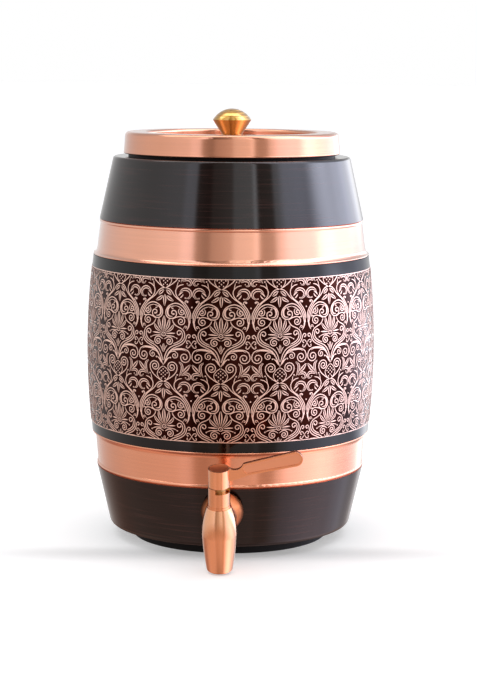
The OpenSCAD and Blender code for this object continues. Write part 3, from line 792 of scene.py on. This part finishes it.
class Relief:
    """Collects closed raised threads and beads on the flat drawing, as rows of a mesh."""

    def __init__(self, height, sunk):
        self.height = height
        self.sunk = sunk
        self.vertices = []
        self.faces = []
        self.tops = []

    def face(self, *corners, top=False):
        self.faces.append(corners)
        self.tops.append(top)

    def thread(self, points, widths):
        """Thread of four corners a row: two feet in the ground and two crests."""
        first = len(self.vertices)
        for point, side, width in zip(points, side_of(points), widths):
            crest = min(self.height, width * CREST_RISE)
            left = ((0.5, -self.sunk), (CREST_HALF, crest))
            right = ((-CREST_HALF, crest), (-0.5, -self.sunk))
            for across, above in left + right:
                place = point + side * across * width
                self.vertices.append((place[0], place[1], above))
        for row in range(len(points) - 1):
            a = first + 4 * row
            for j in range(4):
                k = (j + 1) % 4
                self.face(a + j, a + k, a + 4 + k, a + 4 + j, top=j == 1)
        last = first + 4 * (len(points) - 1)
        self.face(first + 3, first + 2, first + 1, first)
        self.face(last, last + 1, last + 2, last + 3)

    def bead(self, across, above, radius, sides=8):
        """Low dome."""
        first = len(self.vertices)
        for share, rise in ((1.0, -self.sunk), (DOME_TOP, self.height * DOME_RISE)):
            for i in range(sides):
                angle = 2 * math.pi * i / sides
                reach = radius * share
                place = (across + reach * math.cos(angle), above + reach * math.sin(angle), rise)
                self.vertices.append(place)
        for i in range(sides):
            k = (i + 1) % sides
            self.face(first + i, first + k, first + sides + k, first + sides + i)
        self.face(*(first + sides + i for i in range(sides)), top=True)
        self.face(*(first + sides - 1 - i for i in range(sides)))


def mesh_piece(name, vertices, faces, *materials):
    """New mesh object with flat faces."""
    mesh = bpy.data.meshes.new(name)
    mesh.from_pydata(vertices, [], faces)
    for material in materials:
        mesh.materials.append(material)
    piece = bpy.data.objects.new(name, mesh)
    bpy.context.scene.collection.objects.link(piece)
    return piece


class DISPENSER_OT_shells(bpy.types.Operator):
    """Lacquer the three shells and the mouth collar"""

    bl_idname = "dispenser.shells"
    bl_label = "Shells"

    def execute(self, context):
        colours = context.scene.finish_colours
        inner = tuple(colours.inner_copper)
        lacquer = tuple(colours.lacquer)
        ground = tuple(colours.ground)
        etched = (tuple(colours.etched_copper), *ornament_heights())
        lower = lacquered_shell("lacquer_lower", lacquer, inner, floor_side=-1, ior=1.37)
        belly = lacquered_shell(
            "lacquer_belly", ground, inner, floor_side=0, ior=1.37, rough=0.09, etched=etched
        )
        upper = lacquered_shell("lacquer_upper", lacquer, inner, floor_side=1, ior=1.45, rough=0.09)
        # The mouth collar takes the darker ground lacquer with a dim, rough gloss: a dark finish, made
        # darkest as painted shade for the gap under the lid
        collar = lacquered_shell("lacquer_collar", ground, inner, floor_side=0, ior=1.2, rough=0.5)
        dress(lower, "lower_shell")
        dress(belly, "middle_shell")
        dress(upper, "upper_shell")
        dress(collar, "neck_ring")
        return {"FINISHED"}


# Depth of the ornament's feet in the ground, and width and points of its two edge lines, in millimetres
ORNAMENT_SUNK = 0.12
EDGE_LINE = 0.75
EDGE_POINTS = 17


class DISPENSER_OT_ornament(bpy.types.Operator):
    """Raise the scroll ornament on the belly"""

    bl_idname = "dispenser.ornament"
    bl_label = "Scroll ornament"

    def execute(self, context):
        sizes = context.scene.ornament_sizes
        pen = Pen(sizes.thread_width / MM, motif_half_width() / DRAWN_HALF)
        for draw in (draw_palmette, draw_frame, draw_arch, draw_sprig, draw_heart, draw_branches):
            draw(pen)
        relief = Relief(sizes.thread_height / MM, ORNAMENT_SUNK)
        low, high = (height / MM for height in ornament_heights())
        centre = sizes.palmette_height / MM
        motif = sizes.motif_height / MM
        for row in (-1, 0, 1):
            rise = centre + row * motif
            shift = np.array([0, rise])
            for points, widths in pen.threads:
                for stretch, stretch_widths in clipped(points + shift, widths, low, high):
                    relief.thread(stretch, stretch_widths)
            for across, above, radius in pen.beads:
                if low + radius <= above + rise <= high - radius:
                    relief.bead(across, above + rise, radius)
        half = motif_half_width()
        for edge in (low, high):
            across = np.linspace(-half, half, EDGE_POINTS)
            level = np.full(EDGE_POINTS, edge)
            relief.thread(np.stack([across, level], 1), np.full(EDGE_POINTS, EDGE_LINE))
        flat = np.array(relief.vertices)
        heights, radii = belly_profile()
        angle = flat[:, 0] * MM / belly_radius()
        radius = np.interp(flat[:, 1] * MM, heights, radii) + flat[:, 2] * MM
        vertices = []
        faces = []
        for column in range(sizes.repeats):
            turned = angle + sizes.turn + 2 * math.pi * column / sizes.repeats
            first = len(vertices)
            around = np.stack([radius * np.sin(turned), -radius * np.cos(turned), flat[:, 1] * MM], 1)
            vertices.extend(around.tolist())
            faces.extend(tuple(first + i for i in face) for face in relief.faces)
        colours = context.scene.finish_colours
        # Dark slopes as painted shade, pale crests as worn copper with painted light
        slopes = raised_copper("slope_copper", tuple(colours.slope_shade_copper))
        tops = raised_copper("top_copper", tuple(colours.top_wear_and_light_copper))
        piece = mesh_piece("scroll_ornament", vertices, faces, slopes, tops)
        piece.data.polygons.foreach_set("material_index", relief.tops * sizes.repeats)
        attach(piece, "vessel")
        return {"FINISHED"}


class DISPENSER_OT_hoops(bpy.types.Operator):
    """Brush the two bare hoops"""

    bl_idname = "dispenser.hoops"
    bl_label = "Hoops"

    def execute(self, context):
        copper = tuple(context.scene.finish_colours.bright_copper)
        dress(brushed_copper("lower_hoop_copper", copper, gloss=0.45), "lower_hoop")
        dress(brushed_copper("upper_hoop_copper", copper, gloss=1.0, rough=0.17), "upper_hoop")
        return {"FINISHED"}


class DISPENSER_OT_base(bpy.types.Operator):
    """Finish the base plate and the foot ring"""

    bl_idname = "dispenser.base"
    bl_label = "Base"

    def execute(self, context):
        colours = context.scene.finish_colours
        copper = tuple(colours.inner_copper)
        dress(brushed_copper("base_copper", copper, gloss=0.0, rough=0.34), "base_plate")
        dress(moulded_rubber("foot_rubber", tuple(colours.rubber)), "foot_ring")
        return {"FINISHED"}


class DISPENSER_OT_lid(bpy.types.Operator):
    """Brush the lid and polish its knob"""

    bl_idname = "dispenser.lid"
    bl_label = "Lid"

    def execute(self, context):
        colours = context.scene.finish_colours
        copper = scaled(colours.bright_copper, 0.9)
        dress(brushed_copper("lid_copper", copper, gloss=0.6, rough=0.17), "lid_shell")
        dress(turned_brass("knob_brass", tuple(colours.brass)), "lid_knob")
        dress(plain_steel("knob_steel", tuple(colours.steel)), "knob_washer", "knob_screw")
        return {"FINISHED"}


class DISPENSER_OT_tap(bpy.types.Operator):
    """Polish the tap and its lever"""

    bl_idname = "dispenser.tap"
    bl_label = "Tap"

    def execute(self, context):
        colours = context.scene.finish_colours
        cast = tuple(colours.tap_copper)
        lever = tuple(colours.lever_copper)
        # Painted shade: the bell is tinted darker where the wall behind it shades it
        bell = (near_wall, (0.42, 0.32, 0.3))
        # Painted light: the sunk panel is tinted paler and pinker than the rim, so that it stands out
        panel = (on_panel, (1.14, 1.36, 2.1))
        # Painted shade: the blade's edges are tinted dark
        edges = (on_edges, (0.3, 0.16, 0.14))
        # Painted reflection: the dish on the cap's top is tinted dark, as the dark belly that it mirrors
        dish = (in_dish, (0.66, 0.42, 0.42))
        dress(polished_copper("tap_copper", cast, (bell,)), "tap_body")
        dress(polished_copper("lever_copper", lever, (panel, edges, dish)), "tap_lever")
        return {"FINISHED"}


class DISPENSER_OT_valve(bpy.types.Operator):
    """Finish the valve inside the tap"""

    bl_idname = "dispenser.valve"
    bl_label = "Valve"

    def execute(self, context):
        colours = context.scene.finish_colours
        brass = tuple(colours.brass)
        # Painted shade: the plug's brass is darkened to 0.6 of the brass colour, for the notch through which
        # it shows
        dress(turned_brass("plug_brass", scaled(brass, 0.6), rough=0.3), "valve_plug")
        dress(turned_brass("pin_brass", brass, rough=0.22), "stop_pin")
        dress(moulded_rubber("seal_rubber", tuple(colours.rubber)), "plug_seal_rings")
        dress(plain_steel("valve_steel", tuple(colours.steel)), "plug_clip", "lever_grub_screw")
        return {"FINISHED"}


class DISPENSER_OT_fastenings(bpy.types.Operator):
    """Finish the gaskets, washer and nut that hold the tap"""

    bl_idname = "dispenser.fastenings"
    bl_label = "Tap fastenings"

    def execute(self, context):
        colours = context.scene.finish_colours
        rubber = moulded_rubber("gasket_rubber", tuple(colours.rubber))
        dress(rubber, "tap_outer_gasket", "tap_inner_gasket")
        dress(turned_brass("nut_brass", tuple(colours.brass), rough=0.26), "tap_washer", "tap_lock_nut")
        return {"FINISHED"}


# Soft boxes and dark gaps that metal mirrors: degrees to the right of the front, level and coolness
STUDIO_BOXES = (
    (-180, 0.85, 0), (-140, 0.82, 0), (-84, 1.03, 0), (-44, 1.2, 0.2), (-38, 1.42, 0.5), (-31, 1.4, 0.5),
    (-27, 0.52, -0.8), (-17, 0.42, -1), (-13, 0.66, -0.8), (3, 0.8, -0.6), (6, 1.15, 0), (22, 1.22, 0),
    (23.5, 1.7, 0.2), (25.5, 1.7, 0.2), (28, 0.62, -0.8), (40, 0.68, -0.6), (44, 1.3, 0.3), (56, 1.95, 0.9),
    (70, 2.15, 1), (85, 2.05, 1), (97, 1.75, 1), (112, 1.4, 1), (125, 1.15, 1), (143, 0.85, 0.6),
    (160, 0.8, 0.2), (180, 0.85, 0),
)
# Level at the ramp's white, of the floor and of the plain light, and the most that a box gains overhead
BRIGHTEST = 3.2
FLOOR_LEVEL = 0.63
PLAIN_LEVEL = 0.7
OVERHEAD_GAIN = 1.7
COOL = (0.93, 0.97, 1.18)
WARM = (1.07, 0.92, 0.82)
# What the floor's nearness does to the light that comes from below
LOW_TINT = (0.96, 0.74, 0.67)
# What a dim wall on the left and behind the object does to it
LEFT_TINT = (0.72, 0.56, 0.5)
# Soft edges of the studio's zones, by the way to the right, the way back and the way up of a direction
RIGHT_ZONE = (0.3, 0.8)
LEFT_ZONE = (-0.2, 0)
BACK_ZONE = (0.05, 0.55)
LOW_ZONE = (-0.48, -0.2)
CLEAR_ZONE = (-0.52, -0.38)
HIGH_ZONE = ((0.2, 0.36), (0.75, 0.95))
FLOOR_GLEAM = (-0.64, -0.46)
UNDERSIDE = (-0.92, -0.78)
# Share of the floor in the low zone, how much less of it is on the right, and how much less of its tint
FLOOR_SHARE = 0.85
RIGHT_FLOOR = 0.8
RIGHT_TINT = 0.6
# What the floor's gleam adds, and the level under the object
GLEAM_GAIN = 0.4
UNDERSIDE_LEVEL = 0.35
# Soft edges of the windows' glare on the right: by the way to the right and the way back
WINDOW_SIDE = (0.1, 0.5)
WINDOW_BACK = (-0.25, 0.15)
BELLY_BACK = (0.1, 0.6)
LOW_BACK = ((-0.45, 0.2), (0.6, 0.8))
# Soft edges of that glare by slant, which is the way up and a share of the way back
SLANT = 0.2
WIDE_GLARE = (-0.12, -0.02)
BELLY_GLARE = ((-0.16, -0.06), (0.05, 0.1))
BELLY_TOP = (-0.02, 0.04)
BAND_GLARE = ((0.13, 0.21), (0.3, 0.38))
LOW_GLARE = (-0.3, -0.16)
# What each part of that glare adds
WIDE_GAIN = 0.4
BAND_GAIN = 2.8
BELLY_GAIN = 0.5
BELLY_BACK_GAIN = 1.2
LOW_GAIN = 0.5


def box_stop(degrees, level, coolness):
    """Place and colour of one box or gap on the ramp round the horizon."""
    tint = COOL if coolness > 0 else WARM
    return degrees / 360 + 0.5, tuple(level / BRIGHTEST * (1 + (part - 1) * abs(coolness)) for part in tint)


def studio_tone(shade, boxes, x, y, rise):
    """Colour of the studio in a direction: its boxes, and the floor and a dim wall below them."""
    right = x.spread(*RIGHT_ZONE)
    left = (1 - x.spread(*LEFT_ZONE)) * y.spread(*BACK_ZONE)
    low = 1 - rise.spread(*LOW_ZONE)
    clear = right * rise.spread(*CLEAR_ZONE)
    floor_tone = tuple(part * FLOOR_LEVEL / BRIGHTEST for part in WARM)
    tone = shade.mix(boxes, floor_tone, low * (1 - right * RIGHT_FLOOR) * FLOOR_SHARE)
    tone = shade.mix(tone, LOW_TINT, low * (1 - clear * RIGHT_TINT), "MULTIPLY")
    return shade.mix(tone, LEFT_TINT, left * low, "MULTIPLY")


def studio_strength(boxes, x, y, rise):
    """How strong the studio's colour is in a direction: boxes overhead, windows on the right, dim below."""
    overhead = 1 + ((boxes * BRIGHTEST).at_most(OVERHEAD_GAIN) - 1) * rise.within(*HIGH_ZONE)
    slant = rise + y * SLANT
    belly = BELLY_GAIN + y.spread(*BELLY_BACK) * BELLY_BACK_GAIN + slant.spread(*BELLY_TOP)
    glare = slant.spread(*WIDE_GLARE) * WIDE_GAIN + slant.within(*BAND_GLARE) * BAND_GAIN
    glare = (glare + slant.within(*BELLY_GLARE) * belly) * y.spread(*WINDOW_BACK)
    low_glare = (1 - slant.spread(*LOW_GLARE)) * y.within(*LOW_BACK) * LOW_GAIN
    windows = 1 + x.spread(*WINDOW_SIDE) * (glare + low_glare)
    gleam = 1 + (1 - rise.spread(*FLOOR_GLEAM)) * GLEAM_GAIN
    below = UNDERSIDE_LEVEL + rise.spread(*UNDERSIDE) * (1 - UNDERSIDE_LEVEL)
    return overhead * windows * gleam * below * BRIGHTEST


def light_studio(world):
    """White behind the object, soft boxes and dark gaps in its metal, and plain light besides."""
    shade = Shade(world)
    x = shade.node("ShaderNodeSeparateXYZ", None, {0: shade.node("ShaderNodeTexCoord", output="Generated")})
    y = x.other("Y")
    rise = x.other("Z")
    azimuth = x.angle_from(-y) * (0.5 / math.pi) + 0.5
    stops = [box_stop(*box) for box in STUDIO_BOXES]
    boxes = shade.node("ShaderNodeValToRGB", {"stops": stops}, {"Fac": azimuth})
    path = shade.node("ShaderNodeLightPath", output="Is Camera Ray")
    mirrored = path.other("Is Glossy Ray")
    shown = path.either(path.other("Is Transmission Ray")).either(mirrored)
    colour = shade.mix((1, 1, 1), studio_tone(shade, boxes, x, y, rise), mirrored)
    strength = 1 + (studio_strength(boxes, x, y, rise) - 1) * mirrored
    background = shade.node("ShaderNodeBackground", None, {"Color": colour, "Strength": strength})
    plain = shade.node("ShaderNodeBackground", None, {"Color": (1, 1, 1, 1), "Strength": PLAIN_LEVEL})
    surface = shade.node("ShaderNodeMixShader", None, {0: shown, 1: plain, 2: background})
    shade.node("ShaderNodeOutputWorld", None, {"Surface": surface})


# Streak of shade on the floor: how it slants, its two soft sides, how far it reaches and how dark it is
STREAK_SLANT = 0.068
STREAK_SIDES = ((-0.102, -0.072), (-0.07, -0.046))
STREAK_REACH = 0.212
STREAK_DARKNESS = 0.24
# Half the floor's width, in metres, and the share of its white that glows
FLOOR_REACH = 30.0
FLOOR_GLOW = 0.4


def lay_floor(colour):
    """Wide pale floor that keeps the object's shadow, has a soft streak of shade, and is white elsewhere."""
    material, shade = new_material("studio_floor")
    x = shade.place()
    y = x.other("Y")
    mottle = shade.noise(x, y, 0.0, 30.0, 3.0)
    fade = 1 - (x * x).spread(0, STREAK_REACH ** 2)
    streak = (y - x * STREAK_SLANT).within(*STREAK_SIDES) * fade * STREAK_DARKNESS
    pale = shade.mix(scaled(colour, 0.985), colour, mottle)
    shade.surface(
        base_color=shade.mix(pale, (0, 0, 0), streak),
        roughness=0.7 + mottle * 0.1,
        specular_ior_level=0.2,
        emission_color=shade.mix((1, 1, 1), (0, 0, 0), streak),
        emission_strength=FLOOR_GLOW,
    )
    signs = ((-1, -1), (1, -1), (1, 1), (-1, 1))
    corners = [(side * FLOOR_REACH, end * FLOOR_REACH, 0) for side, end in signs]
    floor = mesh_piece("studio_floor", corners, [(0, 1, 2, 3)], material)
    floor.visible_glossy = False
    floor.visible_diffuse = False


# Width, depth, place and aim of the overhead lamp, in metres
LAMP_SIZE = (2.4, 0.5)
LAMP_PLACE = Vector((0, 0.15, 1.5))
LAMP_AIM = Vector((0, 0, 0.1))


def hang_lamp(power):
    """Wide soft lamp overhead, a little behind the object."""
    lamp = bpy.data.lights.new("soft_lamp", "AREA")
    lamp.shape = "RECTANGLE"
    lamp.size, lamp.size_y = LAMP_SIZE
    lamp.energy = power
    holder = bpy.data.objects.new("soft_lamp", lamp)
    holder.location = LAMP_PLACE
    holder.rotation_euler = (LAMP_AIM - LAMP_PLACE).to_track_quat("-Z", "Y").to_euler()
    bpy.context.scene.collection.objects.link(holder)


# Height of the camera's picture on its sensor, in millimetres, and the nearest and farthest that it sees
SENSOR_HEIGHT = 36
CAMERA_RANGE = (0.05, 40)


def place_camera(studio):
    """Camera at the photograph's viewing angle."""
    data = bpy.data.cameras.new("camera")
    data.sensor_fit = "VERTICAL"
    data.sensor_height = SENSOR_HEIGHT
    data.sensor_width = SENSOR_HEIGHT
    data.lens = studio.lens
    data.clip_start, data.clip_end = CAMERA_RANGE
    side = studio.camera_azimuth
    heading = side - studio.camera_swing
    level = Vector((-math.sin(heading), math.cos(heading), 0))
    forward = level * math.cos(studio.camera_pitch) - Vector((0, 0, math.sin(studio.camera_pitch)))
    turn = forward.to_track_quat("-Z", "Y").to_matrix() @ Matrix.Rotation(studio.camera_roll, 3, "Z")
    camera = bpy.data.objects.new("camera", data)
    reach = studio.camera_reach
    camera.location = (reach * math.sin(side), -reach * math.cos(side), studio.camera_height)
    camera.rotation_euler = turn.to_euler()
    bpy.context.scene.collection.objects.link(camera)
    bpy.context.scene.camera = camera


class DISPENSER_OT_stage(bpy.types.Operator):
    """Set up the floor, the light and the camera"""

    bl_idname = "dispenser.stage"
    bl_label = "Studio"

    def execute(self, context):
        scene = context.scene
        studio = scene.studio_settings
        if scene.world is None:
            scene.world = bpy.data.worlds.new("studio")
        light_studio(scene.world)
        lay_floor(tuple(studio.floor_colour))
        hang_lamp(studio.lamp_power)
        place_camera(studio)
        scene.view_settings.view_transform = "Standard"
        return {"FINISHED"}


class DISPENSER_PT_sidebar(bpy.types.Panel):
    """Sizes, colours and steps of the dispenser"""

    bl_label = "Copper water dispenser"
    bl_idname = "DISPENSER_PT_sidebar"
    bl_space_type = "VIEW_3D"
    bl_region_type = "UI"
    bl_category = "Dispenser"

    def draw(self, context):
        for group_name, group in GROUPS.items():
            box = self.layout.box()
            for name in group.__annotations__:
                box.prop(getattr(context.scene, group_name), name)
        for step in STEPS:
            self.layout.operator(step.bl_idname)


STEPS = (
    DISPENSER_OT_shells, DISPENSER_OT_ornament, DISPENSER_OT_hoops, DISPENSER_OT_base, DISPENSER_OT_lid,
    DISPENSER_OT_tap, DISPENSER_OT_valve, DISPENSER_OT_fastenings, DISPENSER_OT_stage,
)
GROUPS = {"ornament_sizes": OrnamentSizes, "finish_colours": FinishColours, "studio_settings": StudioSettings}


def register():
    for group in GROUPS.values():
        bpy.utils.register_class(group)
    for name, group in GROUPS.items():
        setattr(bpy.types.Scene, name, PointerProperty(type=group))
    for step in (*STEPS, DISPENSER_PT_sidebar):
        bpy.utils.register_class(step)


def unregister():
    for step in (DISPENSER_PT_sidebar, *reversed(STEPS)):
        bpy.utils.unregister_class(step)
    for name, group in GROUPS.items():
        delattr(bpy.types.Scene, name)
        bpy.utils.unregister_class(group)


def main():
    register()
    for step in STEPS:
        group, name = step.bl_idname.split(".")
        getattr(getattr(bpy.ops, group), name)()


if __name__ == "__main__":
    main()
